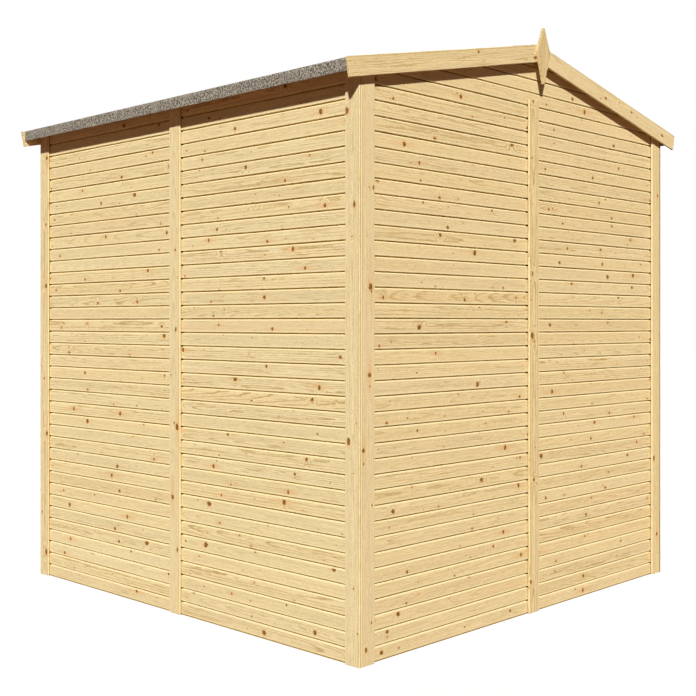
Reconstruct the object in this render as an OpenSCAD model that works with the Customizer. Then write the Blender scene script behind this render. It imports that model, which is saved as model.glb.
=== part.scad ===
// Timber garden shed with a shallow apex roof. Front (door gable) faces -Y, ridge runs along Y.
// Origin: centre of the footprint at ground level, +Z up. All lengths in millimetres.

/* [Walls] */
// Width of the shed over the cladding, across the gables
wall_w = 1886; // [1500:2:2400]
// Length of the shed over the cladding, along the eaves
wall_d = 1892; // [1500:2:3000]
// Height covered by one cladding board
board_pitch = 50; // [50:5:100]
// Thickness of the cladding boards
cladding_t = 12; // [8:1:19]
// Cladding boards below the gable panel
panel_courses = 38; // [30:1:38]

/* [Trims] */
// Width of the corner trims and centre strips
trim_w = 63; // [40:1:100]
// Thickness of the corner trims and centre strips
trim_t = 9; // [6:1:18]
// How far the gable strip runs up past the wall panels
strip_rise = 20; // [0:5:40]

/* [Roof] */
// Slope of the roof in degrees
roof_pitch = 12; // [10:0.5:15]
// Height of the bargeboards' top edge at the ridge
ridge_h = 2126; // [2110:1:2300]
// Distance from the side cladding to the outer face of the felt
eaves_overhang = 74; // [60:1:100]
// Distance from the gable cladding to the back of the bargeboards
verge_overhang = 25; // [12:1:60]
// Thickness of the roof boards
roof_board_t = 12; // [8:1:19]
// Thickness of the mineral felt
felt_t = 3; // [2:1:5]
// Height of the felt turned down over the eaves
felt_drop = 43; // [35:1:60]
// Height of the felt's free edge below the eaves batten
felt_free = 13; // [3:1:30]
// Width of the felt strip over the ridge, both sides together
ridge_felt_w = 300; // [200:10:400]
// Height of a bargeboard, square to the slope
barge_h = 64; // [50:1:100]
// Thickness of the bargeboards and finials
barge_t = 9; // [8:1:20]

/* [Finials] */
// Width of the diamond finial at its widest
finial_w = 84; // [60:1:120]
// Height of the finial's widest level below the ridge
finial_mid_drop = 28; // [20:1:50]
// Length of the finial above its widest level
finial_up = 90; // [80:1:130]
// Length of the finial below its widest level
finial_down = 119; // [90:1:140]
// Width of the finial's blunt tips
finial_tip_w = 9; // [4:1:20]
// Distance of the back finial from the middle of its gable, towards the left-hand wall
back_finial_shift = 14; // [0:1:20]

/* [Framing] */
// Width of a stud or rail along the wall
stud_w = 44; // [38:1:60]
// Depth of a stud or rail into the shed
stud_t = 28; // [22:1:50]
// Number of studs in a full wall
stud_count = 5; // [3:1:7]

/* [Floor] */
// Height of the floor bearers
bearer_h = 34; // [28:1:50]
// Width of a floor bearer
bearer_w = 44; // [38:1:60]
// Number of floor bearers
bearer_count = 5; // [4:1:7]
// Thickness of the floor boards
floor_t = 12; // [9:1:22]

/* [Door] */
// Width of the doorway
door_w = 800; // [650:10:900]
// Height of the doorway's head above the ground
door_head = 1800; // [1700:10:1800]
// Gap round the closed door
door_gap = 4; // [2:1:8]
// Thickness of the inside ledges and braces
ledge_t = 20; // [15:1:25]
// Width of the inside ledges and braces
ledge_w = 90; // [60:5:120]
// Length of a hinge strap
hinge_len = 300; // [200:10:400]

/* [Hidden] */
$fn = 48;

// Gap left between pieces that meet at a slope or a saw cut
fit_gap = 1;
// Longer than any piece, for shapes that are cut to length
reach = 4000;
half_w = wall_w / 2;
half_d = wall_d / 2;
panel_h = panel_courses * board_pitch;
in_w = half_w - cladding_t;
in_d = half_d - cladding_t;
frame_in_w = in_w - stud_t;
frame_in_d = in_d - stud_t;
floor_top = bearer_h + floor_t;
skin = (felt_t + roof_board_t) / cos(roof_pitch);
eaves_x = half_w + eaves_overhang;
verge_y = half_d + verge_overhang;
rail_drop = stud_w / cos(roof_pitch);
barge_drop = barge_h / cos(roof_pitch);
finial_mid = ridge_h - finial_mid_drop;
door_half = door_w / 2;
sill_h = floor_top - 8;
side_wall_top = roof_z(half_w) - skin - fit_gap;
trim_top = roof_z(half_w + trim_t) - skin - fit_gap;
pine = "#e5cd96";
inner_pine = "#d9bd86";
felt_grey = "#8a8378";
iron = "#26262a";

// Height of the roof's finished surface at a distance x from the ridge
function roof_z(x) = ridge_h - abs(x) * tan(roof_pitch);

// Centres of n pieces of width w spread over a span, the outer ones flush with its ends
function spread(span, w, n) = [for (i = [0 : n - 1]) -span / 2 + w / 2 + i * (span - w) / (n - 1)];

// Box from its low corner to its high corner
module block(low, high) {
    translate(low) cube(high - low);
}

// Outline drawn in X and Z, given thickness from y0 to y1
module upright(y0, y1) {
    translate([0, y1, 0]) rotate([90, 0, 0]) linear_extrude(y1 - y0) children();
}

// Everything below the roof's surface lowered by drop, in X and Z
module under_roof(drop) {
    polygon([[-reach, -1], [reach, -1], [reach, roof_z(reach) - drop], [0, ridge_h - drop],
             [-reach, roof_z(reach) - drop]]);
}

// Turns a piece made at the back to the front as well, or the right to the left
module to_front() { mirror([0, 1, 0]) children(); }
module to_left() { mirror([1, 0, 0]) children(); }

module floor_bearers() {
    color(inner_pine)
    for (y = spread(2 * in_d, bearer_w, bearer_count))
        block([-in_w, y - bearer_w / 2, 0], [in_w, y + bearer_w / 2, bearer_h]);
}

module floor_boards() {
    color(inner_pine) block([-in_w, -in_d, bearer_h], [in_w, in_d, floor_top]);
}

// Half of a gable wall below the gable panel, from the middle out to the right
module gable_half(from_x, top) {
    color(pine) block([from_x, in_d, 0], [half_w, half_d, top]);
}

// Upper part of a gable wall, from a level up to the roof boards
module gable_panel(from_z) {
    color(pine) upright(in_d, half_d) intersection() {
        under_roof(skin + fit_gap);
        translate([-half_w, from_z]) square([wall_w, reach]);
    }
}

module gable_studs(xs) {
    color(inner_pine) upright(frame_in_d, in_d) intersection() {
        under_roof(skin + rail_drop);
        for (x = xs) translate([x - stud_w / 2, floor_top + stud_w]) square([stud_w, reach]);
    }
}

// Two sloping rails that meet at the ridge with a saw cut between them
module gable_top_rails() {
    upright(frame_in_d, in_d) intersection() {
        difference() {
            under_roof(skin);
            under_roof(skin + rail_drop);
        }
        for (side = [-1, 1]) scale([side, 1, 1])
            translate([fit_gap / 2, 0]) square([in_w - fit_gap / 2, reach]);
    }
}

module back_cladding_right() { gable_half(0, panel_h); }
module back_cladding_left() { to_left() gable_half(0, panel_h); }
module back_gable_panel() { gable_panel(panel_h); }
module back_wall_studs() { gable_studs(spread(2 * in_w, stud_w, stud_count)); }
module back_wall_rails() {
    color(inner_pine) {
        gable_top_rails();
        block([-in_w, frame_in_d, floor_top], [in_w, in_d, floor_top + stud_w]);
    }
}

module front_cladding_right() { to_front() gable_half(door_half, door_head); }
module front_cladding_left() { to_front() to_left() gable_half(door_half, door_head); }
module front_gable_panel() { to_front() gable_panel(door_head); }
module front_wall_studs() {
    jamb_x = door_half + stud_w / 2;
    corner_x = in_w - stud_w / 2;
    to_front() gable_studs([-corner_x, -jamb_x, jamb_x, corner_x]);
}
module front_wall_rails() {
    color(inner_pine) to_front() {
        gable_top_rails();
        block([-door_half, frame_in_d, door_head], [door_half, in_d, door_head + stud_w]);
        for (side = [-1, 1]) scale([side, 1, 1])
            block([door_half, frame_in_d, floor_top], [in_w, in_d, floor_top + stud_w]);
    }
}

// Rear half of the right-hand eaves wall
module eaves_half() {
    color(pine) block([in_w, 0, 0], [half_w, in_d, side_wall_top]);
}

module eaves_studs() {
    color(inner_pine)
    for (y = spread(2 * frame_in_d, stud_w, stud_count))
        block([frame_in_w, y - stud_w / 2, floor_top + stud_w], [in_w, y + stud_w / 2, side_wall_top - stud_w]);
}

module eaves_rails() {
    color(inner_pine)
    for (z = [floor_top, side_wall_top - stud_w])
        block([frame_in_w, -frame_in_d, z], [in_w, frame_in_d, z + stud_w]);
}

module right_cladding_rear() { eaves_half(); }
module right_cladding_front() { to_front() eaves_half(); }
module left_cladding_rear() { to_left() eaves_half(); }
module left_cladding_front() { to_left() to_front() eaves_half(); }
module right_wall_studs() { eaves_studs(); }
module left_wall_studs() { to_left() eaves_studs(); }
module right_wall_rails() { eaves_rails(); }
module left_wall_rails() { to_left() eaves_rails(); }

// Two boards round one corner: the side board laps the edge of the gable board
module corner_trim() {
    color(pine) {
        block([half_w, half_d + trim_t - trim_w, 0], [half_w + trim_t, half_d + trim_t, trim_top]);
        upright(half_d, half_d + trim_t) intersection() {
            under_roof(skin + fit_gap);
            translate([half_w - trim_w, 0]) square([trim_w, reach]);
        }
    }
}

module corner_trim_back_right() { corner_trim(); }
module corner_trim_back_left() { to_left() corner_trim(); }
module corner_trim_front_right() { to_front() corner_trim(); }
module corner_trim_front_left() { to_front() to_left() corner_trim(); }

module back_centre_strip() {
    color(pine) block([-trim_w / 2, half_d, 0], [trim_w / 2, half_d + trim_t, panel_h + strip_rise]);
}

module eaves_strip() {
    color(pine) block([half_w, -trim_w / 2, 0], [half_w + trim_t, trim_w / 2, trim_top]);
}

module right_centre_strip() { eaves_strip(); }
module left_centre_strip() { to_left() eaves_strip(); }

module roof_purlins() {
    color(inner_pine) upright(-frame_in_d, frame_in_d) intersection() {
        difference() {
            under_roof(skin);
            under_roof(skin + rail_drop);
        }
        for (x = [-half_w / 2, 0, half_w / 2]) translate([x - stud_t / 2, 0]) square([stud_t, reach]);
    }
}

module eaves_battens() {
    bottom = roof_z(eaves_x) - felt_drop + felt_free;
    outer = eaves_x - felt_t;
    color(inner_pine) upright(-verge_y, verge_y) intersection() {
        under_roof(skin);
        for (side = [-1, 1])
            translate([side * (outer - stud_t / 2) - stud_t / 2, bottom]) square([stud_t, reach]);
    }
}

// One slope of the roof between two depths below its surface, as an outline in X and Z
module slope_outline(upper, lower, end_x) {
    intersection() {
        difference() {
            under_roof(upper);
            under_roof(lower);
        }
        square([end_x, reach]);
    }
}

module roof_slope_boards() {
    color(inner_pine) upright(-verge_y, verge_y)
        slope_outline(felt_t / cos(roof_pitch), skin, eaves_x - felt_t);
}

// Felt on one slope, turned down over the eaves
module roof_slope_felt() {
    color(felt_grey) upright(-verge_y, verge_y) {
        slope_outline(0, felt_t / cos(roof_pitch), eaves_x);
        intersection() {
            under_roof(0);
            translate([eaves_x - felt_t, roof_z(eaves_x) - felt_drop]) square([felt_t, 2 * felt_drop]);
        }
    }
}

module roof_boards_right() { roof_slope_boards(); }
module roof_boards_left() { to_left() roof_slope_boards(); }
module roof_felt_right() { roof_slope_felt(); }
module roof_felt_left() { to_left() roof_slope_felt(); }

module ridge_felt() {
    color(felt_grey) upright(-verge_y, verge_y) intersection() {
        difference() {
            under_roof(-felt_t / cos(roof_pitch));
            under_roof(0);
        }
        translate([-ridge_felt_w / 2, 0]) square([ridge_felt_w, reach]);
    }
}

// Right-hand board of the back gable, mitred at the ridge and cut square at the foot
module bargeboard() {
    foot = [eaves_x + fit_gap, roof_z(eaves_x + fit_gap) - barge_drop];
    color(pine) upright(verge_y, verge_y + barge_t)
        polygon([[0, ridge_h], [0, ridge_h - barge_drop], foot,
                 foot + barge_h * [sin(roof_pitch), cos(roof_pitch)]]);
}

module back_bargeboard_right() { bargeboard(); }
module back_bargeboard_left() { to_left() bargeboard(); }
module front_bargeboard_right() { to_front() bargeboard(); }
module front_bargeboard_left() { to_front() to_left() bargeboard(); }

module finial() {
    tip = finial_tip_w / 2;
    wide = finial_w / 2;
    color(pine) upright(verge_y + barge_t, verge_y + 2 * barge_t)
        polygon([[-tip, finial_mid - finial_down], [tip, finial_mid - finial_down], [wide, finial_mid],
                 [tip, finial_mid + finial_up], [-tip, finial_mid + finial_up], [-wide, finial_mid]]);
}

module back_finial() { translate([-back_finial_shift, 0, 0]) finial(); }
module front_finial() { to_front() finial(); }

door_in = door_half - door_gap;
door_foot = sill_h + door_gap;
door_top = door_head - door_gap;
ledge_levels = [door_foot + 150, (door_foot + door_top) / 2, door_top - 150];

module door_boards() {
    color(pine) to_front() block([-door_in, in_d, door_foot], [door_in, half_d, door_top]);
}

// Three boards across the outside of the door
module door_face_rails() {
    color(pine) to_front()
    for (z = ledge_levels)
        block([-door_in, half_d, z - trim_w / 2], [door_in, half_d + trim_t, z + trim_w / 2]);
}

// Ledges across the inside of the door and a brace in each bay, rising away from the hinges
module door_ledges() {
    half = door_in - 40;
    low_y = in_d - ledge_t;
    color(inner_pine) to_front() {
        for (z = ledge_levels)
            block([-half, low_y, z - ledge_w / 2], [half, in_d, z + ledge_w / 2]);
        for (bay = [0, 1]) {
            z0 = ledge_levels[bay] + ledge_w / 2 + fit_gap;
            z1 = ledge_levels[bay + 1] - ledge_w / 2 - fit_gap;
            upright(low_y, in_d)
                polygon([[-half, z0], [-half + ledge_w, z0], [half, z1], [half - ledge_w, z1]]);
        }
    }
}

// Trims beside and over the doorway, and the sill board under the door
module door_surround() {
    color(pine) to_front() {
        for (side = [-1, 1]) scale([side, 1, 1])
            block([door_half, half_d, 0], [door_half + trim_w, half_d + trim_t, door_head]);
        block([-door_half - trim_w, half_d, door_head + fit_gap],
              [door_half + trim_w, half_d + trim_t, door_head + trim_w]);
        block([-door_half, in_d, 0], [door_half, half_d, sill_h]);
    }
}

strap_t = 3;
knuckle_r = 5;
leaf_w = 32;
leaf_h = 110;
strap_root_h = 40;
strap_tip_h = 18;
bolt_plate = [110, 44];

// Tee hinge: tapered strap on the door, leaf on the surround and the knuckle between them
module tee_hinge(z) {
    face = half_d + trim_t;
    upright(face, face + strap_t) translate([-door_half, z]) {
        polygon([[knuckle_r, -strap_root_h / 2], [hinge_len, -strap_tip_h / 2],
                 [hinge_len, strap_tip_h / 2], [knuckle_r, strap_root_h / 2]]);
        translate([-knuckle_r - leaf_w, -leaf_h / 2]) square([leaf_w, leaf_h]);
    }
    translate([-door_half, face + knuckle_r, z - leaf_h / 2]) cylinder(r = knuckle_r, h = leaf_h);
}

// Sliding bolt in the middle of the door's free edge, with its keep on the surround
module slide_bolt(z) {
    face = half_d + trim_t;
    plate_x = door_in - bolt_plate[0];
    upright(face, face + strap_t) {
        translate([plate_x, z - bolt_plate[1] / 2]) square(bolt_plate);
        translate([door_half, z - bolt_plate[1] / 2]) square([leaf_w, bolt_plate[1]]);
    }
    translate([plate_x, face + strap_t + knuckle_r, z]) rotate([0, 90, 0])
        cylinder(r = knuckle_r, h = bolt_plate[0] + leaf_w);
}

module door_ironwork() {
    color(iron) to_front() {
        tee_hinge(ledge_levels[0]);
        tee_hinge(ledge_levels[2]);
        slide_bolt(ledge_levels[1]);
    }
}

floor_bearers();
floor_boards();
back_cladding_left();
back_cladding_right();
back_gable_panel();
back_wall_studs();
back_wall_rails();
front_cladding_left();
front_cladding_right();
front_gable_panel();
front_wall_studs();
front_wall_rails();
left_cladding_front();
left_cladding_rear();
left_wall_studs();
left_wall_rails();
right_cladding_front();
right_cladding_rear();
right_wall_studs();
right_wall_rails();
corner_trim_front_left();
corner_trim_front_right();
corner_trim_back_left();
corner_trim_back_right();
back_centre_strip();
left_centre_strip();
right_centre_strip();
roof_purlins();
eaves_battens();
roof_boards_left();
roof_boards_right();
roof_felt_left();
roof_felt_right();
ridge_felt();
front_bargeboard_left();
front_bargeboard_right();
back_bargeboard_left();
back_bargeboard_right();
front_finial();
back_finial();
door_boards();
door_face_rails();
door_ledges();
door_surround();
door_ironwork();
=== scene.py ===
import math
import random

import bmesh
import bpy
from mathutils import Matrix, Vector


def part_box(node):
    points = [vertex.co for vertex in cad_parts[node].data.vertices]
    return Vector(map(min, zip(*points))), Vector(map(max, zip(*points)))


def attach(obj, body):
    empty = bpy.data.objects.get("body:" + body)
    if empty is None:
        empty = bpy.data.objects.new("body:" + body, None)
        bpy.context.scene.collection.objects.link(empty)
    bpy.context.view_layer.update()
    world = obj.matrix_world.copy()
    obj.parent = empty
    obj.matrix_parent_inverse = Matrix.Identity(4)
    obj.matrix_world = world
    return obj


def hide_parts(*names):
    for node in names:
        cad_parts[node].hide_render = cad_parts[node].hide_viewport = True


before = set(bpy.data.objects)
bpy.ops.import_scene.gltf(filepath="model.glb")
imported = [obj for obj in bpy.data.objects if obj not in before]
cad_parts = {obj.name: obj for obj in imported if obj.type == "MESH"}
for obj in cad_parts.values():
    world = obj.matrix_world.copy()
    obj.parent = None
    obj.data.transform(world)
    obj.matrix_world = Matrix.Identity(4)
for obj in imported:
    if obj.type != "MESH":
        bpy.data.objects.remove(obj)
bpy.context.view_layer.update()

# Timber garden shed. Every board is modelled and joined into the panel that carries it.
# Lengths are in metres. The door gable is -Y, the other gable +Y, and the right-hand eaves +X.

SEED = 1907
random.seed(SEED)


# ---------------------------------------------------------------- sizes taken from the frame

def low(node):
    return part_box(node)[0]


def high(node):
    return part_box(node)[1]


UP = Vector((0, 0, 1))
HALF_W = high("back_gable_panel").x
HALF_D = high("back_gable_panel").y
CLADDING_T = HALF_D - low("back_gable_panel").y
IN_D = HALF_D - CLADDING_T
COURSE_COUNT = 38
PANEL_H = high("back_cladding_right").z
COURSE = PANEL_H / COURSE_COUNT
GABLE_PEAK = high("back_gable_panel").z
SIDE_TOP = high("right_cladding_rear").z
TRIM_T = high("back_centre_strip").y - HALF_D
TRIM_W = high("back_centre_strip").x * 2
TRIM_TOP = high("right_centre_strip").z
STRIP_TOP = high("back_centre_strip").z
VERGE_Y = low("back_bargeboard_right").y
BARGE_T = high("back_bargeboard_right").y - VERGE_Y
RIDGE_Z = high("back_bargeboard_right").z
SLOPE = (RIDGE_Z - low("ridge_felt").z) / high("ridge_felt").x
PITCH = math.atan(SLOPE)
EAVES_X = high("roof_felt_right").x
EAVES_FOOT = low("roof_felt_right").z
FELT_T = EAVES_X - high("roof_boards_right").x
ROOF_BOARD_T = 0.012
FINIAL_TIP = 0.0045
FINIAL_MID_DROP = 0.028
DOOR_HALF = low("front_cladding_right").x
DOOR_HEAD = high("front_cladding_right").z


def roof_z(x):
    return RIDGE_Z - abs(x) * SLOPE


# ---------------------------------------------------------------- shader sums

class Wire:
    """An output of a shader node that can be used in sums."""

    def __init__(self, finish, socket):
        self.finish = finish
        self.socket = socket

    def sum(self, operation, *values):
        return self.finish.node("ShaderNodeMath", {"operation": operation}, dict(enumerate(values)))

    def __add__(self, other):
        return self.sum("ADD", self, other)

    def __radd__(self, other):
        return self.sum("ADD", other, self)

    def __sub__(self, other):
        return self.sum("SUBTRACT", self, other)

    def __rsub__(self, other):
        return self.sum("SUBTRACT", other, self)

    def __mul__(self, other):
        return self.sum("MULTIPLY", self, other)

    def __rmul__(self, other):
        return self.sum("MULTIPLY", other, self)

    def __truediv__(self, other):
        return self.sum("DIVIDE", self, other)

    def __pow__(self, other):
        return self.sum("POWER", self, other)

    def floor(self):
        return self.sum("FLOOR", self)

    def fract(self):
        return self.sum("FRACT", self)

    def below(self, level):
        return self.sum("LESS_THAN", self, level)

    def step(self, start, end):
        """0 before start, 1 after end and smooth between them. Start may be the larger."""
        settings = {"interpolation_type": "SMOOTHSTEP"}
        values = {"Value": self, "From Min": min(start, end), "From Max": max(start, end)}
        rise = self.finish.node("ShaderNodeMapRange", settings, values)
        return rise if start < end else 1 - rise


class Finish:
    """The nodes of a material, or of the world."""

    def __init__(self, owner):
        owner.use_nodes = True
        self.owner = owner
        self.tree = owner.node_tree
        self.tree.nodes.clear()

    def node(self, kind, settings=None, values=None, out=0):
        """Adds one node, its settings first and then its inputs, and gives back one output."""
        made = self.tree.nodes.new(kind)
        for key, value in (settings or {}).items():
            setattr(made, key, value)
        for key, value in (values or {}).items():
            if isinstance(value, Wire):
                self.tree.links.new(value.socket, made.inputs[key])
            else:
                made.inputs[key].default_value = value
        return Wire(self, made.outputs[out]) if made.outputs else None

    def vector(self, x, y, z=0.0):
        return self.node("ShaderNodeCombineXYZ", None, {0: x, 1: y, 2: z})

    def parts(self, wire):
        split = self.node("ShaderNodeSeparateXYZ", None, {0: wire})
        return [Wire(self, output) for output in split.socket.node.outputs]

    def noise(self, vector, detail=2.0, rough=0.5, scale=1.0):
        values = {"Vector": vector, "Scale": scale, "Detail": detail, "Roughness": rough}
        return self.node("ShaderNodeTexNoise", {"noise_dimensions": "3D"}, values)

    def dice(self, vector):
        """Three numbers from 0 to 1 that stay the same wherever the vector does."""
        values = {"Vector": vector}
        return self.parts(self.node("ShaderNodeTexWhiteNoise", {"noise_dimensions": "3D"}, values, "Color"))

    def mix(self, amount, first, second, blend="MIX"):
        """Mixes two colours, each of them a wire or three numbers."""
        values = {0: amount}
        for key, colour in ((6, first), (7, second)):
            values[key] = colour if isinstance(colour, Wire) else (*colour, 1)
        return self.node("ShaderNodeMix", {"data_type": "RGBA", "blend_type": blend}, values, 2)

    def tinted(self, colour, strength):
        """A colour multiplied by a brightness."""
        return self.mix(1.0, colour, self.vector(strength, strength, strength), "MULTIPLY")

    def surface(self, colour, roughness, height, depth, uniform=None):
        """Joins the finish to a Principled shader, with a bump from a height between 0 and 1."""
        bump = {"Height": height, "Distance": depth, "Strength": 1.0}
        values = {"Base Color": colour, "Roughness": roughness}
        values["Normal"] = self.node("ShaderNodeBump", None, bump)
        values.update(uniform or {})
        return self.end(self.node("ShaderNodeBsdfPrincipled", None, values))

    def end(self, shader, output="ShaderNodeOutputMaterial"):
        self.node(output, None, {"Surface": shader})
        return self.owner

    def seen(self):
        """1 where the camera or a reflection looks straight at the surface, 0 where it only sends light."""
        path = self.node("ShaderNodeLightPath")
        rays = {output.name: Wire(self, output) for output in path.socket.node.outputs}
        seen = path.sum("MAXIMUM", rays["Is Camera Ray"], rays["Is Glossy Ray"])
        return seen.sum("MAXIMUM", seen, rays["Is Transmission Ray"])


def material(name):
    return Finish(bpy.data.materials.new(name))


# ---------------------------------------------------------------- pine

PALE_WOOD = (0.785, 0.668, 0.392)
EARLY_WOOD = (0.772, 0.645, 0.356)
WARM_WOOD = (0.79, 0.615, 0.33)
LATE_WOOD = (0.46, 0.30, 0.10)
KNOT_BROWN = (0.20, 0.095, 0.017)
KNOT_RED = (0.41, 0.155, 0.03)
KNOT_HALO = (0.75, 0.435, 0.177)
# Dirt in the joints, and painted shade where the joints fall dark.
JOINT_DIRT_AND_SHADE = (0.37, 0.215, 0.0)
# Nearly black painted shade in the ends of the grooves beside the trims.
GROOVE_END_SHADE = (0.05, 0.025, 0.006)
# Painted highlight on the edges beside the joints and on arrises.
PAINTED_HIGHLIGHT = (0.89, 0.755, 0.44)
BARE = (1, 1, 1)
STAINED = (0.80, 0.62, 0.50)
# Painted warmer light on the faces turned along Y, the gables.
GABLE_LIGHT_TINT = (1.035, 0.99, 0.945)
GOLDEN = (0.91, 0.88, 0.86)
LOTS = 1000
BOARD_FACE = 0.05
# Length of a cell along the board, share of the cells with a knot, least and greatest radius
LARGE_KNOTS = (0.36, 0.66, 0.0040, 0.0090)
TINY_KNOTS = (0.21, 0.55, 0.0016, 0.0033)
NO_KNOT = 99


def knots(finish, run, across, key, sort, knotty, flat, seed):
    """How far the nearest knot is, in knot radii, the same with a tail along the grain, which side of it
    this is, and its numbers.

    The board is cut into cells along its length, and a share of them hold one knot of the sort each.
    There are more of them the higher knotty is, and they are longer along the grain where flat is under 1."""
    cell, share, small, big = sort
    cell = cell / knotty
    number = (run / cell).floor()
    place = finish.dice(finish.vector(number, key[0] + seed, key[1]))
    kind = finish.dice(finish.vector(number + 0.5, key[1] + seed, key[2]))
    radius = place[2] ** 1.5 * (big - small) + small
    aside = across - (place[1] - 0.5) * BOARD_FACE
    away = (run - (place[0] * 0.6 + number + 0.2) * cell) * (kind[1] * 0.5 + flat)
    none = (1 - kind[0].below(share)) * NO_KNOT
    near = (away * away + aside * aside) ** 0.5 / radius + none
    tail = (away * away * 0.02 + aside * aside) ** 0.5 / radius + none
    side = (away * (kind[1] - 0.5) + aside * (kind[2] - 0.5)) / radius
    return near, tail, side, kind


def grain_axes(finish):
    """Along, across and out of the board, and the board's own three numbers."""
    grain = finish.node("ShaderNodeAttribute", {"attribute_name": "grain"}, None, "Vector")
    lot = finish.node("ShaderNodeAttribute", {"attribute_name": "lot"}, None, "Vector")
    return finish.parts(grain), finish.parts(lot)


def pine(name, tone, roughness, knotty=1.0, flat=0.8):
    """Softwood: growth rings cut lengthwise, fibres, knots with their halos, a tint for each board.

    The tone multiplies the colour of the bare wood."""
    finish = material(name)
    (along, across, out), lot = grain_axes(finish)
    key = [(number * LOTS).floor() for number in lot]
    run = along + key[0] * 0.061 + key[1] * 0.0073

    wander = finish.noise(finish.vector(run * 1.3, across * 5, lot[2] * 40), 2.0) - 0.5
    ripple = finish.noise(finish.vector(run * 14, across * 70, lot[1] * 60), 3.0, 0.6) - 0.5
    kink = finish.noise(finish.vector(run * 140, across * 180, lot[0] * 60), 1.0) - 0.5
    large = knots(finish, run, across, key, LARGE_KNOTS, knotty, flat, 11)
    tiny = knots(finish, run, across, key, TINY_KNOTS, knotty, flat, 57)
    swirl = large[0].step(5.0, 0.4) * 1.8 + tiny[0].step(4.0, 0.6) * 0.7

    lean = lot[2] - 0.5
    taper = lean * lean * lean * 0.45
    aside = across - (lot[1] - 0.5) * BOARD_FACE + wander * 0.02
    depth = lot[0] * 0.026 + 0.006 + out + along * taper + wander * 0.03
    radius = (aside * aside + depth * depth) ** 0.5
    rings = (radius / (lot[1] * 0.003 + 0.004) + ripple * 0.7 + swirl).fract()
    late = rings.step(0.62, 0.93) * rings.step(1.0, 0.95)
    figure = (lot[2] * 7.3).fract() ** 1.6 * 0.75 + 0.2

    fibre = finish.noise(finish.vector(run * 26, across * 380, out * 380), 3.0, 0.65)
    streak = finish.noise(finish.vector(run * 3, across * 170 + ripple * 3, lot[2] * 30), 2.0, 0.6)
    line = finish.noise(finish.vector(run * 9, across * 250 + ripple * 4, lot[0] * 30), 1.0)
    cloud = finish.noise(finish.vector(run * 3.4, across * 22, lot[1] * 30), 2.0)
    warm = finish.noise(finish.vector(run * 0.9, across * 46, lot[0] * 30), 1.0)
    fleck = finish.noise(finish.vector(run * 70, across * 260, lot[0] * 20), 1.0)
    grit = finish.noise(finish.vector(run * 240, across * 300, lot[1] * 20), 1.0)

    colour = finish.mix(lot[0], PALE_WOOD, EARLY_WOOD)
    colour = finish.mix(lot[2].step(0.5, 1.0) * 0.4 + warm.step(0.58, 0.74) * 0.5, colour, WARM_WOOD)
    colour = finish.mix(late * figure * (cloud * 1.2 + 0.2), colour, LATE_WOOD)
    colour = finish.mix(line.step(0.60, 0.70) * figure * 0.7, colour, LATE_WOOD)
    shade = (fibre - 0.5) * 0.56 + (streak - 0.5) * 0.34 + (cloud - 0.5) * 0.08 + (lot[1] - 0.5) * 0.05
    shade = shade + (grit - 0.5) * 0.36 + 1.01
    colour = finish.mix(1.0, colour, finish.vector(*[shade * share for share in tone]), "MULTIPLY")
    colour = finish.mix(fleck.step(0.70, 0.76) * 0.6, colour, LATE_WOOD)
    # Painted light: faces turned along Y, the gables, are tinted warmer.
    facing = finish.parts(finish.node("ShaderNodeTexCoord", None, None, "Normal"))[1]
    colour = finish.mix(facing * facing, colour, finish.mix(1.0, colour, GABLE_LIGHT_TINT, "MULTIPLY"))

    for near, tail, side, kind in (large, tiny):
        ragged = near + ripple * 0.8 + kink * 1.1
        colour = finish.mix(tail.step(2.0, 0.3) * kind[1].step(0.3, 0.9) * 0.5, colour, KNOT_HALO)
        colour = finish.mix(ragged.step(2.2, 0.95) * side.step(-0.6, 0.5) * 0.85, colour, KNOT_HALO)
        ruddy = (kind[1] * 7.3).fract().step(0.45, 0.8) * 0.6 + 0.3
        core = finish.mix(side.step(-0.15, 0.4) * ruddy, KNOT_BROWN, KNOT_RED)
        core = finish.mix(ragged.step(0.75, 0.1) * 0.3, core, KNOT_RED)
        colour = finish.mix(ragged.step(1.15, 0.85), colour, core)

    # The per-point mark: below 0 a painted highlight, up to 1 dirt and painted shade, above 1 nearly black
    # painted shade.
    dirt_and_painted_light = finish.node("ShaderNodeAttribute", {"attribute_name": "dirt_and_painted_light"}, None, "Fac")
    colour = finish.mix(dirt_and_painted_light * -0.8, colour, PAINTED_HIGHLIGHT)
    colour = finish.mix(dirt_and_painted_light, colour, JOINT_DIRT_AND_SHADE)
    colour = finish.mix(dirt_and_painted_light - 1, colour, GROOVE_END_SHADE)
    height = fibre * 0.6 + streak * 0.3 - late * 0.2 + large[0].step(1.1, 0.9) * 0.3
    shine = fibre * 0.14 + roughness - 0.07
    return finish.surface(colour, shine, height, 0.0003, {"Specular IOR Level": 0.12})


SAWN_PALE = (0.74, 0.55, 0.28)
SAWN_BROWN = (0.60, 0.40, 0.18)


def sawn_pine(name, axis):
    """Rough sawn softwood for the framing, with its grain along one axis."""
    finish = material(name)
    place = finish.parts(finish.node("ShaderNodeTexCoord", None, None, "Object"))
    along = place.pop(axis)
    wander = finish.noise(finish.vector(along * 1.2, place[0] * 5, place[1] * 5), 2.0) - 0.5
    rings = ((place[0] + wander * 0.03) * 140 + place[1] * 90).fract()
    fibre = finish.noise(finish.vector(along * 6, place[0] * 420, place[1] * 420), 3.0, 0.6)
    cloud = finish.noise(finish.vector(along * 2, place[0] * 14, place[1] * 14), 2.0)
    colour = finish.mix(rings.step(0.3, 0.95) * 0.4, SAWN_PALE, SAWN_BROWN)
    colour = finish.tinted(colour, fibre * 0.25 + cloud * 0.2 + 0.75)
    return finish.surface(colour, fibre * 0.15 + 0.75, fibre, 0.0008)


# ---------------------------------------------------------------- felt and iron

FELT_DARK = (0.06, 0.052, 0.044)
FELT_LIGHT = (0.415, 0.372, 0.30)
GRANULES_PER_METRE = 420.0
IRON_BLACK = (0.02, 0.02, 0.022)
IRON_WORN = (0.045, 0.042, 0.04)


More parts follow.
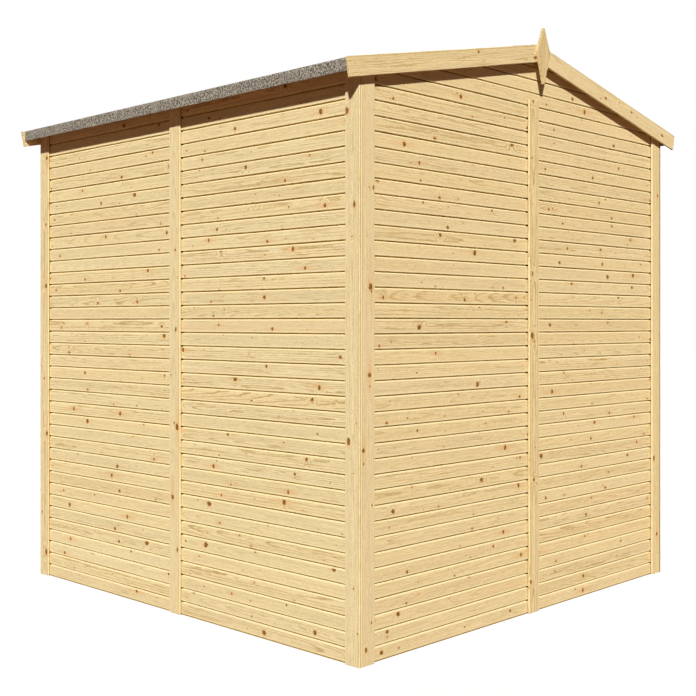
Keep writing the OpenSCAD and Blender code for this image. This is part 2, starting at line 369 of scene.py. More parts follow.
def mineral_felt():
    """Bitumen felt with a grey-brown mineral face: granules, blotches and thin worn spots."""
    finish = material("mineral_felt")
    place = finish.node("ShaderNodeTexCoord", None, None, "Object")
    values = {"Vector": place, "Scale": GRANULES_PER_METRE}
    cells = finish.node("ShaderNodeTexVoronoi", {"feature": "F1"}, values, "Color")
    bumps = finish.node("ShaderNodeTexVoronoi", {"feature": "F1"}, values)
    granule = finish.parts(cells)
    blotch = finish.noise(place, 3.0, 0.7, 170.0)
    patch = finish.noise(place, 2.0, 0.5, 20.0)
    colour = finish.mix(blotch.step(0.42, 0.58), FELT_DARK, FELT_LIGHT)
    colour = finish.tinted(colour, (granule[0] - 0.5) * 0.5 + (patch - 0.5) * 0.2 + 1)
    height = (1 - bumps * 1.2) * 0.7 + blotch * 0.3
    return finish.surface(colour, granule[1] * 0.08 + 0.88, height, 0.0008)


def black_iron():
    """Black painted iron, slightly uneven."""
    finish = material("black_iron")
    place = finish.node("ShaderNodeTexCoord", None, None, "Object")
    cloud = finish.noise(place, 3.0, 0.6, 60.0)
    speck = finish.noise(place, 2.0, 0.5, 900.0)
    colour = finish.mix(cloud.step(0.4, 0.7), IRON_BLACK, IRON_WORN)
    return finish.surface(colour, cloud * 0.2 + 0.4, speck, 0.0002)


# ---------------------------------------------------------------- board making

NOSE = 0.0012
SPOT = 0.0052
SPOT_EDGE = 0.0070
BACK_ONLY = -0.003
WARP = 0.0004
SHARP_ANGLE = math.radians(32)
WOOD_BEVEL = 0.0008
IRON_BEVEL = 0.0007
HAIR = 0.0005
BOARD_GAP = 0.001
# Levels of the per-point mark: nearly black painted shade, dirt and painted shade, none, painted highlight.
GROOVE_END_SHADED, DIRT_AND_SHADE, CLEAN, PAINTED_HIGHLIGHT_EDGE = 2.0, 1, 0.0, -1


class Piece:
    """Boards gathered into one mesh, each with its own grain directions and numbers."""

    def __init__(self, name):
        self.name = name
        self.points = []
        self.faces = []
        self.grain = []
        self.lots = []
        self.dirt_and_painted_light = []

    def add(self, rings, grain, dirt_and_painted_light=None):
        """Joins rings of points, one after another, into a closed skin with numbers of its own."""
        lot = [(random.randrange(LOTS) + 0.5) / LOTS for _ in range(3)]
        first = len(self.points)
        count = len(rings[0])
        for k, ring in enumerate(rings):
            self.points += ring
            self.grain += grain[k]
            self.lots += [lot] * count
            self.dirt_and_painted_light += dirt_and_painted_light[k] if dirt_and_painted_light else [0.0] * count
        for k in range(len(rings) - 1):
            a = first + k * count
            for i in range(count):
                j = (i + 1) % count
                self.faces.append((a + i, a + j, a + count + j, a + count + i))
        last = first + (len(rings) - 1) * count
        self.faces.append(tuple(first + i for i in reversed(range(count))))
        self.faces.append(tuple(last + i for i in range(count)))

    def board(self, origin, along, across, out, profile, start, end, steps=10, trims=()):
        """One board. The profile lists (across, out, grime); start and end give its ends at each point.

        Its joints get nearly black painted shade for a few millimetres beside each of the trims, given as
        places along it."""
        origin, along, across, out = Vector(origin), Vector(along), Vector(across), Vector(out)
        sway_1, sway_2, rise_1, rise_2 = [random.uniform(-WARP, WARP) for _ in range(4)]
        middle, span = (start(0) + end(0)) / 2, end(0) - start(0)
        edges = [place - start(0) for place in trims if abs(place - middle) < span / 2 - SPOT * 2]
        spots = [(place + shift) / span for place in edges for shift in (-SPOT, SPOT)]
        clean = [(place + shift) / span for place in edges for shift in (-SPOT_EDGE, SPOT_EDGE)]
        inner = sorted([i / steps for i in range(1, steps)] + spots + clean)
        stations = [0.0, NOSE, NOSE * 2] + inner + [-NOSE * 2, -NOSE, 1.0]
        rings, marks, dirt = [], [], []
        for k, station in enumerate(stations):
            from_end = min(k, len(stations) - 1 - k)
            capped = from_end == 0
            ring, mark = [], []
            for c, n, _ in profile:
                a, b = start(c), end(c)
                share = station / (b - a) % 1 if from_end in (1, 2) else station
                sway = math.sin(share * math.pi) * sway_1 + math.sin(share * math.tau) * sway_2
                rise = math.sin(share * math.pi) * rise_1 + math.sin(share * 3 * math.pi) * rise_2
                side = c * 0.97 if capped else c
                face = n - NOSE / 2 if capped and n > BACK_ONLY else n
                s = a + (b - a) * share
                point = origin + along * s + across * (side + rise / 2) + out * (face + sway)
                point.z = max(point.z, 0.0)
                ring.append(point)
                mark.append((s, c, n))
            rings.append(ring)
            marks.append(mark)
            # Nearly black painted shade where the grooves run in under a trim.
            spotted = station in spots
            dirt.append([GROOVE_END_SHADED if spotted and (n < -NOSE or dirt_and_painted_light > 0) else dirt_and_painted_light for _, n, dirt_and_painted_light in profile])
        self.add(rings, marks, dirt)

    def plate(self, outline, origin, across, up, out, thick, bevel):
        """A flat piece cut to an outline of (across, up) points, with its front edge bevelled."""
        origin, across, up, out = Vector(origin), Vector(across), Vector(up), Vector(out)
        layers = ((0, 0), (0, thick - bevel), (bevel, thick))
        rings, marks = [], []
        for inset, level in layers:
            shape = shrunk(outline, inset)
            rings.append([origin + across * x + up * z + out * level for x, z in shape])
            marks.append([(z, x, level) for x, z in shape])
        self.add(rings, marks)

    def turned(self, origin, axis, profile, sides=14):
        """A round piece: (radius, place) pairs along an axis."""
        origin, axis = Vector(origin), Vector(axis)
        first = axis.orthogonal().normalized()
        second = axis.cross(first)
        rings, marks = [], []
        for radius, place in profile:
            angles = [math.tau * i / sides for i in range(sides)]
            rings.append([origin + axis * place + (first * math.cos(t) + second * math.sin(t)) * radius
                          for t in angles])
            marks.append([(place, radius * math.cos(t), radius * math.sin(t)) for t in angles])
        self.add(rings, marks)

    def finish(self, material, slot, *nodes):
        """Makes the mesh and puts it in place of the CAD nodes."""
        mesh = bpy.data.meshes.new(self.name)
        mesh.from_pydata([tuple(point) for point in self.points], [], self.faces)
        for name, values in (("grain", self.grain), ("lot", self.lots)):
            layer = mesh.attributes.new(name, "FLOAT_VECTOR", "POINT")
            layer.data.foreach_set("vector", [number for row in values for number in row])
        mesh.attributes.new("dirt_and_painted_light", "FLOAT", "POINT").data.foreach_set("value", self.dirt_and_painted_light)
        work = bmesh.new()
        work.from_mesh(mesh)
        bmesh.ops.recalc_face_normals(work, faces=work.faces)
        work.to_mesh(mesh)
        work.free()
        mesh.materials.append(material)
        mesh.shade_smooth()
        mesh.set_sharp_from_angle(angle=SHARP_ANGLE)
        made = bpy.data.objects.new(self.name, mesh)
        bpy.context.scene.collection.objects.link(made)
        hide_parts(*nodes)
        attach(made, "root")


def shrunk(outline, inset):
    """An outline moved inwards by an equal distance on every side."""
    area = sum(a[0] * b[1] - b[0] * a[1] for a, b in zip(outline, outline[1:] + outline[:1]))
    turn = 1 if area > 0 else -1
    shape = []
    for i, here in enumerate(outline):
        before, after = outline[i - 1], outline[(i + 1) % len(outline)]
        edge_a = (Vector(here) - Vector(before)).normalized()
        edge_b = (Vector(after) - Vector(here)).normalized()
        normal_a = Vector((-edge_a.y, edge_a.x)) * turn
        normal_b = Vector((-edge_b.y, edge_b.x)) * turn
        push = (normal_a + normal_b) * (inset / (1 + normal_a.dot(normal_b)))
        shape.append((here[0] + push.x, here[1] + push.y))
    return shape


def fixed(value):
    return lambda c: value


ARRIS_ARCS = 3
# Painted highlight beside one arris of a planed face and painted shade beside the other.
PAINTED_HIGHLIGHT_BAND, PAINTED_SHADE_BAND = -0.5, 0.32


def planed(width, thick, arris=0.0018, joint=1.4, seam=CLEAN):
    """Section of a planed board: rounded front arrises, and back edges darkened by painted shade where it
    meets what lies behind it.

    The joint is how dark the painted shade on the back edges is. The seam marks the second arris the same
    way: painted shade above 0, a painted highlight below 0. The face has a painted highlight beside the
    first arris and painted shade beside the second."""
    half, nip, shade_reach, clean = width / 2, 0.0012, 0.0022, 0.0034
    flat, band, fade = half - arris - 0.0006, half - arris - 0.003, half - arris - 0.0042
    # Painted shade on the back edges, fading out a few millimetres along the sides.
    back = [(half - nip, -thick, joint), (half, nip - thick, joint), (half, shade_reach - thick, joint),
            (half, clean - thick, CLEAN)]
    bend = []
    for i in range(ARRIS_ARCS + 1):
        angle = i / ARRIS_ARCS * math.pi / 2
        bend.append((half - arris + arris * math.cos(angle), arris * (math.sin(angle) - 1)))
    points = [(-across, out, dirt_and_painted_light) for across, out, dirt_and_painted_light in back]
    points += [(-across, out, CLEAN) for across, out in bend]
    points += [(-flat, 0.0, PAINTED_HIGHLIGHT_BAND), (-band, 0.0, PAINTED_HIGHLIGHT_BAND), (-fade, 0.0, CLEAN)]
    points += [(fade, 0.0, CLEAN), (band, 0.0, PAINTED_SHADE_BAND), (flat, 0.0, PAINTED_SHADE_BAND)]
    points += [(across, out, seam) for across, out in reversed(bend)]
    return points + back[::-1]


def matched(bottom, top, thick, plain_foot=False, plain_head=False):
    """Section of a tongued and grooved board with V joints, between two levels about its middle.

    Dirt and painted shade fill the bottom of the joint and the inner part of its downward chamfer. The upward
    chamfer and a narrow band of face just above the joint have a painted highlight. A board with a plain
    foot has painted shade along its foot and a painted highlight just above it."""
    gap, lead, depth, highlight_band = 0.0005, 0.0032, 0.0050, 0.0042
    tongue, tongue_front, tongue_back, slack = 0.005, -0.0056, -0.0085, 0.0003
    faint_dirt_and_shade = 0.02
    if plain_foot:
        # Painted shade along the foot of the board, then a painted highlight just above it.
        foot = [(bottom, -thick, CLEAN), (bottom, -0.001, 1.2), (bottom + 0.001, 0.0, 1.2),
                (bottom + 0.0042, 0.0, DIRT_AND_SHADE), (bottom + 0.0048, 0.0, -0.7),
                (bottom + 0.0090, 0.0, -0.7), (bottom + 0.0110, 0.0, CLEAN)]
    else:
        # Dirt and painted shade in the groove and the downward chamfer; painted highlight on the face just
        # above.
        groove = bottom + tongue + BOARD_GAP
        foot = [(bottom + gap, -thick, CLEAN), (bottom + gap, tongue_back - slack, DIRT_AND_SHADE),
                (groove, tongue_back - slack, DIRT_AND_SHADE), (groove, tongue_front + slack, DIRT_AND_SHADE),
                (bottom + gap, tongue_front + slack, DIRT_AND_SHADE), (bottom + gap, -depth, 1.15),
                (bottom + lead * 0.40, -depth * 0.66, DIRT_AND_SHADE), (bottom + lead * 0.44, -depth * 0.62, faint_dirt_and_shade),
                (bottom + lead, 0.0, faint_dirt_and_shade), (bottom + lead + 0.0003, 0.0, PAINTED_HIGHLIGHT_EDGE),
                (bottom + lead + highlight_band, 0.0, PAINTED_HIGHLIGHT_EDGE), (bottom + lead + highlight_band * 1.5, 0.0, CLEAN)]
    if plain_head:
        head = [(top - 0.001, 0.0, CLEAN), (top, -0.001, CLEAN), (top, -thick, CLEAN)]
    else:
        # Painted highlight on the upward chamfer, dirt and painted shade at the bottom of the joint.
        head = [(top - 0.0072, 0.0, CLEAN), (top - 0.0060, 0.0, PAINTED_HIGHLIGHT_EDGE),
                (top - gap - 0.0013, -depth * 0.85, PAINTED_HIGHLIGHT_EDGE),
                (top - gap - 0.0011, -depth * 0.9, 1.1), (top - gap, -depth, 1.2),
                (top - gap, tongue_front, DIRT_AND_SHADE), (top + tongue, tongue_front, DIRT_AND_SHADE),
                (top + tongue, tongue_back, DIRT_AND_SHADE), (top - gap, tongue_back, DIRT_AND_SHADE),
                (top - gap, -thick, CLEAN)]
    return foot + head


def courses(piece, origin, along, out, foot, head, ends, trims):
    """Courses of matched boards between two levels. ends gives a course's two ends at a height."""
    number = math.floor(foot / COURSE + 0.001)
    while number * COURSE < head - 0.004:
        z0 = max(foot, number * COURSE)
        z1 = min(head, (number + 1) * COURSE)
        middle = (z0 + z1) / 2
        plain_foot = z0 < 0.001 or z0 > number * COURSE + 0.001
        plain_head = z1 < (number + 1) * COURSE - 0.001
        profile = matched(z0 - middle, z1 - middle, CLADDING_T, plain_foot, plain_head)
        place = Vector(origin) + UP * middle - Vector(out) * random.uniform(0, HAIR)
        piece.board(place, along, UP, out, profile,
                    lambda c: ends(middle + c)[0], lambda c: ends(middle + c)[1], trims=trims)
        number += 1


# ---------------------------------------------------------------- walls

def gable_ends(height):
    """Ends of a gable board at a height, cut to the slope of the roof."""
    half = min(HALF_W, max(0.0, GABLE_PEAK - height) / SLOPE)
    return -half, half


def gable_wall(side, name, skin):
    """Cladding of one gable. side is 1 at the back and -1 at the door."""
    origin = (0, side * HALF_D, 0)
    out = (0, side, 0)
    at_door = side < 0
    inner = DOOR_HALF if at_door else 0.0
    edges = (HALF_W - TRIM_W, DOOR_HALF + TRIM_W if at_door else TRIM_W / 2)
    trims = [sign * edge for edge in edges for sign in (-1, 1)]
    top = DOOR_HEAD if at_door else PANEL_H
    for half, ends in (("right", (inner, HALF_W)), ("left", (-HALF_W, -inner))):
        node = f"{name}_cladding_{half}"
        panel = Piece(f"{node}_boards")
        courses(panel, origin, (1, 0, 0), out, 0.0, top, lambda height, ends=ends: ends, trims)
        panel.finish(skin, "cladding_pine", node)
    panel = Piece(f"{name}_gable_boards")
    courses(panel, origin, (1, 0, 0), out, top, GABLE_PEAK - 0.002, gable_ends, trims[:2])
    panel.finish(skin, "cladding_pine", f"{name}_gable_panel")


def eaves_wall(side, name, skin):
    """Cladding of one eaves wall, in its two panels. side is 1 on the right and -1 on the left."""
    corner = HALF_D + TRIM_T - TRIM_W
    trims = (-corner, -TRIM_W / 2, TRIM_W / 2, corner)
    for half, ends in (("rear", (0.0, IN_D)), ("front", (-IN_D, 0.0))):
        node = f"{name}_cladding_{half}"
        panel = Piece(f"{node}_boards")
        courses(panel, (side * HALF_W, 0, 0), (0, 1, 0), (side, 0, 0), 0.0, SIDE_TOP,
                lambda height, ends=ends: ends, trims)
        panel.finish(skin, "cladding_pine", node)


# ---------------------------------------------------------------- trims

def corner_trim(across_side, gable_side, node, finish):
    """Two boards round a corner: the side board laps the edge of the gable board."""
    piece = Piece(f"{node}_boards")
    face_x = across_side * (HALF_W + TRIM_T)
    middle_y = gable_side * (HALF_D + TRIM_T - TRIM_W / 2)
    piece.board((face_x, middle_y, 0), UP, (0, 1, 0), (across_side, 0, 0), planed(TRIM_W, TRIM_T),
                fixed(0.0), fixed(TRIM_TOP), steps=16)
    middle_x = HALF_W - TRIM_W / 2
    # The gable board's arris at the corner has a painted highlight.
    piece.board((across_side * middle_x, gable_side * (HALF_D + TRIM_T), 0), UP, (across_side, 0, 0),
                (0, gable_side, 0), planed(TRIM_W, TRIM_T, seam=-0.8),
                fixed(0.0), lambda c: GABLE_PEAK - (middle_x + c) * SLOPE, steps=16)
    piece.finish(finish, "planed_pine", node)


def centre_strips(finish):
    """The strips that cover the joint in the middle of three walls."""
    strips = (("back_centre_strip", (0, HALF_D + TRIM_T, 0), (1, 0, 0), (0, 1, 0), STRIP_TOP),
              ("right_centre_strip", (HALF_W + TRIM_T, 0, 0), (0, 1, 0), (1, 0, 0), TRIM_TOP),
              ("left_centre_strip", (-HALF_W - TRIM_T, 0, 0), (0, 1, 0), (-1, 0, 0), TRIM_TOP))
    for node, origin, across, out, top in strips:
        piece = Piece(f"{node}_board")
        piece.board(origin, UP, across, out, planed(TRIM_W, TRIM_T), fixed(0.0), fixed(top), steps=16)
        piece.finish(finish, "planed_pine", node)


def bargeboard(side, gable_side, node, finish):
    """A sloping board under the verge, mitred at the ridge and cut square at its foot."""
    corner = high(node).x if side > 0 else -low(node).x
    width = (RIDGE_Z - SLOPE * corner - low(node).z) / math.cos(PITCH)
    foot = corner - width * math.sin(PITCH)
    along = (side * math.cos(PITCH), 0, -math.sin(PITCH))
    across = Vector((side * math.sin(PITCH), 0, math.cos(PITCH)))
    middle = Vector((0, gable_side * (VERGE_Y + BARGE_T), RIDGE_Z)) - across * (width / 2)
    end = (foot + width * math.sin(PITCH)) / math.cos(PITCH)
    piece = Piece(f"{node}_board")
    # No painted shade on the back edges of a bargeboard.
    piece.board(middle, along, across, (0, gable_side, 0), planed(width, BARGE_T, 0.002, 0.0),
                lambda c: (width / 2 - c) * SLOPE, fixed(end), steps=14)
    piece.finish(finish, "planed_pine", node)


def finial(gable_side, node, finish):
    """The pointed board over the mitre of the bargeboards."""
    bottom, top = low(node).z, high(node).z
    centre = (low(node).x + high(node).x) / 2
    wide = high(node).x - centre
    middle = RIDGE_Z - FINIAL_MID_DROP
    outline = [(-FINIAL_TIP, bottom), (FINIAL_TIP, bottom), (wide, middle), (FINIAL_TIP, top),
               (-FINIAL_TIP, top), (-wide, middle)]
    piece = Piece(f"{node}_board")
    piece.plate(outline, (centre, gable_side * (VERGE_Y + BARGE_T), 0), (1, 0, 0), UP, (0, gable_side, 0),
                BARGE_T, WOOD_BEVEL)
    piece.finish(finish, "planed_pine", node)


# ---------------------------------------------------------------- roof

def rolled(piece, outline, half_length, steps, ripple):
    """A sheet drawn as an outline of (x, z) points and run along the ridge, slightly rippled."""
    phases = [(random.uniform(2, 5), random.uniform(0, 6)), (random.uniform(9, 15), random.uniform(0, 6)),
              (random.uniform(30, 44), random.uniform(0, 6))]
    rings, marks = [], []
    for k in range(steps + 1):
        y = (k / steps * 2 - 1) * half_length
        wave = sum(math.sin(y * rate + phase) / (i + 1) for i, (rate, phase) in enumerate(phases)) / 2
        ring = [Vector((x + ripple(x, z, wave)[0], y, z + ripple(x, z, wave)[1])) for x, z in outline]
        rings.append(ring)
        marks.append([(y, x, z) for x, z in outline])
    piece.add(rings, marks)


def slope_felt(side, node, finish):
    """Felt of one slope, turned down over the eaves with a soft fold."""
    radius = 0.007
    edge = EAVES_X - radius
    fold_z = roof_z(edge) - radius * 0.1
    outer = [(x * edge / 8, roof_z(x * edge / 8)) for x in range(8)]
    for i in range(6):
        angle = math.pi / 2 - PITCH - i / 5 * (math.pi / 2 - PITCH)
        centre = (edge - radius * math.sin(PITCH), roof_z(edge) - radius * math.cos(PITCH))
        outer.append((centre[0] + radius * math.cos(angle) + radius * math.sin(PITCH) * i / 5,
                      centre[1] + radius * math.sin(angle)))
    outer += [(EAVES_X, EAVES_FOOT + 0.025), (EAVES_X, EAVES_FOOT + 0.012), (EAVES_X, EAVES_FOOT + 0.001),
              (EAVES_X - 0.001, EAVES_FOOT)]
    inner = [(EAVES_X - FELT_T, EAVES_FOOT)]
    inner += [(EAVES_X - FELT_T, fold_z - 0.006), (EAVES_X - 2 * FELT_T, roof_z(EAVES_X) - 0.001)]
    inner += [(x * edge / 8, roof_z(x * edge / 8) - FELT_T / math.cos(PITCH)) for x in range(7, -1, -1)]

    def ripple(x, z, wave):
        loose = max(0.0, (roof_z(EAVES_X) - z) / (roof_z(EAVES_X) - EAVES_FOOT)) if x > edge - 0.01 else 0.0
        return (wave - 0.6) * 0.0009 * loose, wave * 0.0007 * loose

    piece = Piece(f"{node}_sheet")
    rolled(piece, outer + inner, VERGE_Y - HAIR, 90, ripple)
    if side < 0:
        piece.points = [Vector((-p.x, p.y, p.z)) for p in piece.points]
    piece.finish(finish, "mineral_felt", node)


def ridge_cap(finish):
    """The strip of felt over the ridge, with its edges lying close to the slopes."""
    half = high("ridge_felt").x
    rise = FELT_T / math.cos(PITCH)
    places = [-half, -half + 0.003, -half * 0.6, -half * 0.2, -0.006, 0.0, 0.006, half * 0.2, half * 0.6,
              half - 0.003, half]
    top = [(x, roof_z(x) + rise * (0.55 if abs(x) > half - 0.001 else 1)) for x in places]
    under = [(x, roof_z(x) + 0.0002) for x in reversed(places)]
    piece = Piece("ridge_felt_sheet")
    rolled(piece, top + under, VERGE_Y - 0.012, 60, lambda x, z, wave: (wave * 0.0012 * x / half, 0.0))
    piece.finish(finish, "mineral_felt", "ridge_felt")


def roof_boards(side, node, finish):
    """Boards under the felt, running from gable to gable."""
    width = high("roof_boards_right").x / math.cos(PITCH)
    count = 10
    pitch = width / count
    along = (0, 1, 0)
    across = Vector((side * math.cos(PITCH), 0, -math.sin(PITCH)))
    out = Vector((side * math.sin(PITCH), 0, math.cos(PITCH)))
    piece = Piece(f"{node}_lengths")
    for i in range(count):
        middle = Vector((0, 0, RIDGE_Z)) + across * ((i + 0.5) * pitch) - out * (FELT_T + ROOF_BOARD_T)
        middle += across * (0.002 if i == 0 else 0) - across * (0.003 if i == count - 1 else 0)
        piece.board(middle, along, across, -out, planed(pitch - BOARD_GAP, ROOF_BOARD_T, 0.0015),
                    fixed(-VERGE_Y + HAIR), fixed(VERGE_Y - HAIR))
    piece.finish(finish, "sawn_pine", node)


def floor_boards(finish):
    """Boards of the floor, laid across the bearers."""
    half_x, half_y = high("floor_boards").x, high("floor_boards").y
    top, thick = high("floor_boards").z, high("floor_boards").z - low("floor_boards").z
    count = 18
    pitch = 2 * half_x / count
    piece = Piece("floor_boards_lengths")
    for i in range(count):
        middle = (-half_x + (i + 0.5) * pitch, 0, top)
        piece.board(middle, (0, 1, 0), (1, 0, 0), (0, 0, 1), planed(pitch - BOARD_GAP, thick, 0.001),
                    fixed(-half_y), fixed(half_y))
    piece.finish(finish, "sawn_pine", "floor_boards")


# ---------------------------------------------------------------- door

def door_leaf(cladding, trim):
    """Upright matched boards with three rails across their face."""
    left, foot = low("door_boards").x, low("door_boards").z
    right, head = high("door_boards").x, high("door_boards").z
    count = 16
    width = (right - left) / count
    piece = Piece("door_boards_matched")
    for i in range(count):
        middle = (left + (i + 0.5) * width, -HALF_D - random.uniform(-HAIR, 0), 0)
        profile = matched(-width / 2, width / 2, CLADDING_T, i == 0, i == count - 1)
        piece.board(middle, UP, (1, 0, 0), (0, -1, 0), profile, fixed(foot), fixed(head), steps=14)
    piece.finish(cladding, "cladding_pine", "door_boards")

    rails = Piece("door_face_rails_boards")
    bottom_rail = low("door_face_rails").z + TRIM_W / 2
    top_rail = high("door_face_rails").z - TRIM_W / 2
    for level in (bottom_rail, (bottom_rail + top_rail) / 2, top_rail):
        rails.board((0, -HALF_D - TRIM_T, level), (1, 0, 0), UP, (0, -1, 0), planed(TRIM_W, TRIM_T),
                    fixed(left), fixed(right))
    rails.finish(trim, "planed_pine", "door_face_rails")
    return bottom_rail, (bottom_rail + top_rail) / 2, top_rail


def door_frame(trim):
    """Boards beside and over the doorway, and the sill under the door."""
    face = -HALF_D - TRIM_T
    piece = Piece("door_surround_boards")
    for side in (-1, 1):
        piece.board((side * (DOOR_HALF + TRIM_W / 2), face, 0), UP, (1, 0, 0), (0, -1, 0),
                    planed(TRIM_W, TRIM_T), fixed(0.0), fixed(DOOR_HEAD), steps=14)
    span = DOOR_HALF + TRIM_W
    head_top = high("door_surround").z
    head_foot = DOOR_HEAD + BOARD_GAP
    piece.board((0, face, (head_foot + head_top) / 2), (1, 0, 0), UP, (0, -1, 0),
                planed(head_top - head_foot, TRIM_T), fixed(-span), fixed(span))
    sill_top = low("door_boards").z - 0.004
    piece.board((0, -HALF_D, sill_top / 2), (1, 0, 0), UP, (0, -1, 0),
                planed(sill_top, CLADDING_T, 0.0015), fixed(-DOOR_HALF), fixed(DOOR_HALF))
    piece.finish(trim, "planed_pine", "door_surround")


SCREW_HEAD = ((0.0042, 0), (0.0042, 0.0004), (0.0034, 0.0014), (0.0016, 0.0019), (0.0002, 0.0020))
STRAP_SCREWS = (0.035, 0.105, 0.185, 0.26)
LEAF_SCREWS = (-0.04, -0.013, 0.013, 0.04)


def screw(piece, x, z, face):
    """A round-headed screw on the front of an iron plate."""
    piece.turned((x, -face, z), (0, -1, 0), SCREW_HEAD, 10)


def ironwork(levels, iron):
    """Two tee hinges on the left of the door and a sliding bolt on its right."""
    face = HALF_D + TRIM_T
    strap_t, knuckle = 0.003, 0.005
    leaf_w, leaf_h = 0.032, 0.11
    strap_end = -DOOR_HALF + 0.3
    piece = Piece("door_ironwork_black")
    axes = ((1, 0, 0), UP, (0, -1, 0))
    for level in (levels[0], levels[2]):
        origin = (-DOOR_HALF, -face, level)
        reach = strap_end + DOOR_HALF
        strap = [(knuckle, -0.02), (reach - 0.02, -0.0092), (reach - 0.006, -0.007), (reach, 0.0),
                 (reach - 0.006, 0.007), (reach - 0.02, 0.0092), (knuckle, 0.02)]
        piece.plate(strap, origin, *axes, strap_t, IRON_BEVEL)
        leaf = [(-knuckle - leaf_w, -leaf_h / 2), (-knuckle, -leaf_h / 2), (-knuckle, leaf_h / 2),
                (-knuckle - leaf_w, leaf_h / 2)]
        piece.plate(leaf, origin, *axes, strap_t, IRON_BEVEL)
        for i in range(5):
            foot = level - leaf_h / 2 + i * leaf_h / 5 + 0.0004
            tall = leaf_h / 5 - 0.0008
            piece.turned((-DOOR_HALF, -face - knuckle, foot), (0, 0, 1),
                         ((knuckle - 0.0006, 0), (knuckle, 0.0006), (knuckle, tall - 0.0006),
                          (knuckle - 0.0006, tall)))
        for place in STRAP_SCREWS:
            screw(piece, -DOOR_HALF + place, level, face + strap_t)
        for lift in LEAF_SCREWS:
            screw(piece, -DOOR_HALF - knuckle - leaf_w / 2, level + lift, face + strap_t)

    free_edge = high("door_boards").x
    plate_w, plate_h = 0.11, 0.044
    level = levels[1]
    for x0, x1 in ((free_edge - plate_w, free_edge), (DOOR_HALF, DOOR_HALF + leaf_w)):
        shape = [(x0, -plate_h / 2), (x1, -plate_h / 2), (x1, plate_h / 2), (x0, plate_h / 2)]
        piece.plate(shape, (0, -face, level), *axes, strap_t, IRON_BEVEL)
        for x in (x0 + 0.008, x1 - 0.008):
            for lift in (-0.016, 0.016):
                screw(piece, x, level + lift, face + strap_t)
    bar_y = -face - strap_t - knuckle
    bar = plate_w + leaf_w
    piece.turned((free_edge - plate_w, bar_y, level), (1, 0, 0),
                 ((knuckle - 0.001, 0), (knuckle, 0.001), (knuckle, bar - 0.0015), (knuckle - 0.0015, bar)))
    piece.finish(iron, "black_iron", "door_ironwork")


# ---------------------------------------------------------------- light, floor and camera

SUN = {"energy": 4.66, "colour": (1.0, 0.985, 0.95), "towards": (-1, -0.92, -0.77), "spread": 2.0}
SKY_BEHIND = {"energy": 1.6, "colour": (1.0, 0.97, 0.93), "towards": (0.8, 1.0, -0.75), "spread": 70}
LAMP_HEIGHT = 3
FLOOR_REACH = 30
FLOOR_GLOW = 1.05
FLOOR_GREY = (0.9, 0.9, 0.9, 1)
FLOOR_BOUNCE = (0.22, 0.105, 0.07, 1)
WHITE = (1, 1, 1, 1)


def sun_lamp(name, energy, colour, towards, spread):
    """Parallel light from a source that looks spread degrees wide."""
    data = bpy.data.lights.new(name, "SUN")
    data.energy = energy
    data.color = colour
    data.angle = math.radians(spread)
    ob = bpy.data.objects.new(name, data)
    ob.location = UP * LAMP_HEIGHT
    ob.rotation_euler = Vector(towards).to_track_quat("-Z", "Y").to_euler()
    bpy.context.scene.collection.objects.link(ob)


def pale_floor():
    """A plain floor, nearly white to the camera, that keeps a soft trace of the shadow."""
    finish = material("pale_floor")
    white = finish.node("ShaderNodeEmission", None, {"Color": WHITE, "Strength": FLOOR_GLOW})
    matt = finish.node("ShaderNodeBsdfDiffuse", None, {"Color": FLOOR_GREY})
    shown = finish.node("ShaderNodeMixShader", None, {0: 0.15, 1: white, 2: matt})
    warm = finish.node("ShaderNodeBsdfDiffuse", None, {"Color": FLOOR_BOUNCE})
    finish.end(finish.node("ShaderNodeMixShader", None, {0: finish.seen(), 1: warm, 2: shown}))
    mesh = bpy.data.meshes.new("floor")
    corners = [(x * FLOOR_REACH, y * FLOOR_REACH, 0) for x, y in ((-1, -1), (1, -1), (1, 1), (-1, 1))]
    mesh.from_pydata(corners, [], [(0, 1, 2, 3)])
    mesh.materials.append(finish.owner)
    floor = bpy.data.objects.new("floor", mesh)
    bpy.context.scene.collection.objects.link(floor)


def surroundings():
    """Very dim light from all round, and plain white where the camera sees past the shed."""
    world = bpy.data.worlds.new("surroundings")
    bpy.context.scene.world = world
    finish = Finish(world)
    dim = finish.node("ShaderNodeBackground", None, {"Color": WHITE, "Strength": 0.02})
    white = finish.node("ShaderNodeBackground", None, {"Color": WHITE, "Strength": 1.0})
    shader = finish.node("ShaderNodeMixShader", None, {0: finish.seen(), 1: dim, 2: white})
    finish.end(shader, "ShaderNodeOutputWorld")


LOOKING = (-0.7165, -0.6976)
EYE_HEIGHT = 1.0865
EYE_DISTANCE = 3.519
EYE_ASIDE = 0.035
LENS_MM = 57.75
LENS_SHIFT = -0.0364


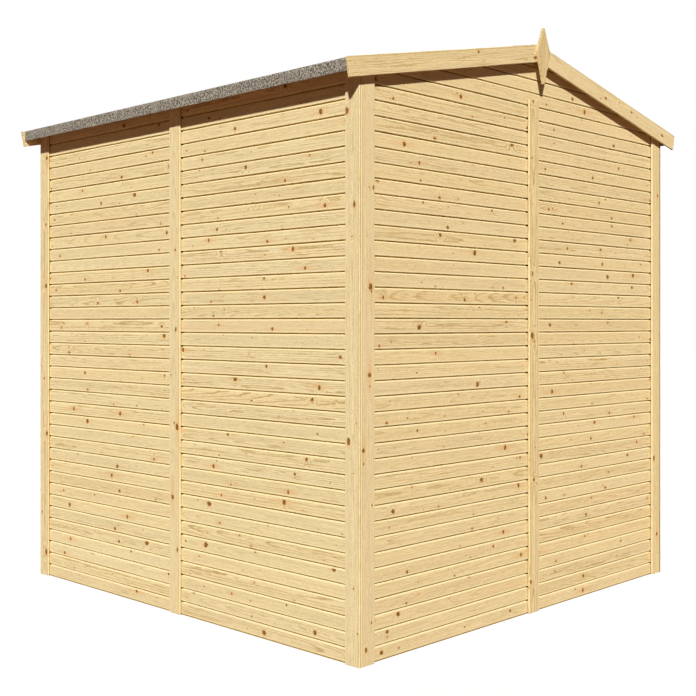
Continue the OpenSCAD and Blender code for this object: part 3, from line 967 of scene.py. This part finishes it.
def camera():
    """A level view towards the corner between the right-hand and the back wall."""
    forward = Vector((LOOKING[0], LOOKING[1], 0))
    right = Vector((LOOKING[1], -LOOKING[0], 0))
    corner = Vector((HALF_W, HALF_D, 0))
    data = bpy.data.cameras.new("camera")
    data.lens = LENS_MM
    data.shift_y = LENS_SHIFT
    ob = bpy.data.objects.new("camera", data)
    ob.location = corner - forward * EYE_DISTANCE - right * EYE_ASIDE + UP * EYE_HEIGHT
    ob.rotation_euler = forward.to_track_quat("-Z", "Y").to_euler()
    bpy.context.scene.collection.objects.link(ob)
    bpy.context.scene.camera = ob


# ---------------------------------------------------------------- build

cladding = pine("cladding_pine", BARE, 0.62)
trim = pine("planed_pine", BARE, 0.58, 1.2, 0.5)
finial_wood = pine("finial_pine", GOLDEN, 0.58)
rough_boards = pine("sawn_boards", STAINED, 0.8)
felt = mineral_felt()
iron = black_iron()
framing = [sawn_pine(f"sawn_pine_{name}", axis) for axis, name in enumerate("xyz")]

gable_wall(1, "back", cladding)
gable_wall(-1, "front", cladding)
eaves_wall(1, "right", cladding)
eaves_wall(-1, "left", cladding)
centre_strips(trim)
for gable_side, gable in ((1, "back"), (-1, "front")):
    for side, hand in ((1, "right"), (-1, "left")):
        corner_trim(side, gable_side, f"corner_trim_{gable}_{hand}", trim)
        bargeboard(side, gable_side, f"{gable}_bargeboard_{hand}", trim)
    finial(gable_side, f"{gable}_finial", finial_wood)
for side, hand in ((1, "right"), (-1, "left")):
    slope_felt(side, f"roof_felt_{hand}", felt)
    roof_boards(side, f"roof_boards_{hand}", rough_boards)
ridge_cap(felt)
floor_boards(rough_boards)
rail_levels = door_leaf(cladding, trim)
door_frame(trim)
ironwork(rail_levels, iron)

CARRIED = {
    "floor_bearers": 0, "back_wall_studs": 2, "back_wall_rails": 0, "front_wall_studs": 2,
    "front_wall_rails": 0, "left_wall_studs": 2, "left_wall_rails": 1, "right_wall_studs": 2,
    "right_wall_rails": 1, "roof_purlins": 1, "eaves_battens": 1, "door_ledges": 0,
}
for node, axis in CARRIED.items():
    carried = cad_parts[node]
    carried.data.materials.clear()
    carried.data.materials.append(framing[axis])

pale_floor()
surroundings()
sun_lamp("sun", **SUN)
sun_lamp("sky_behind", **SKY_BEHIND)
camera()
bpy.context.scene.view_settings.view_transform = "Standard"
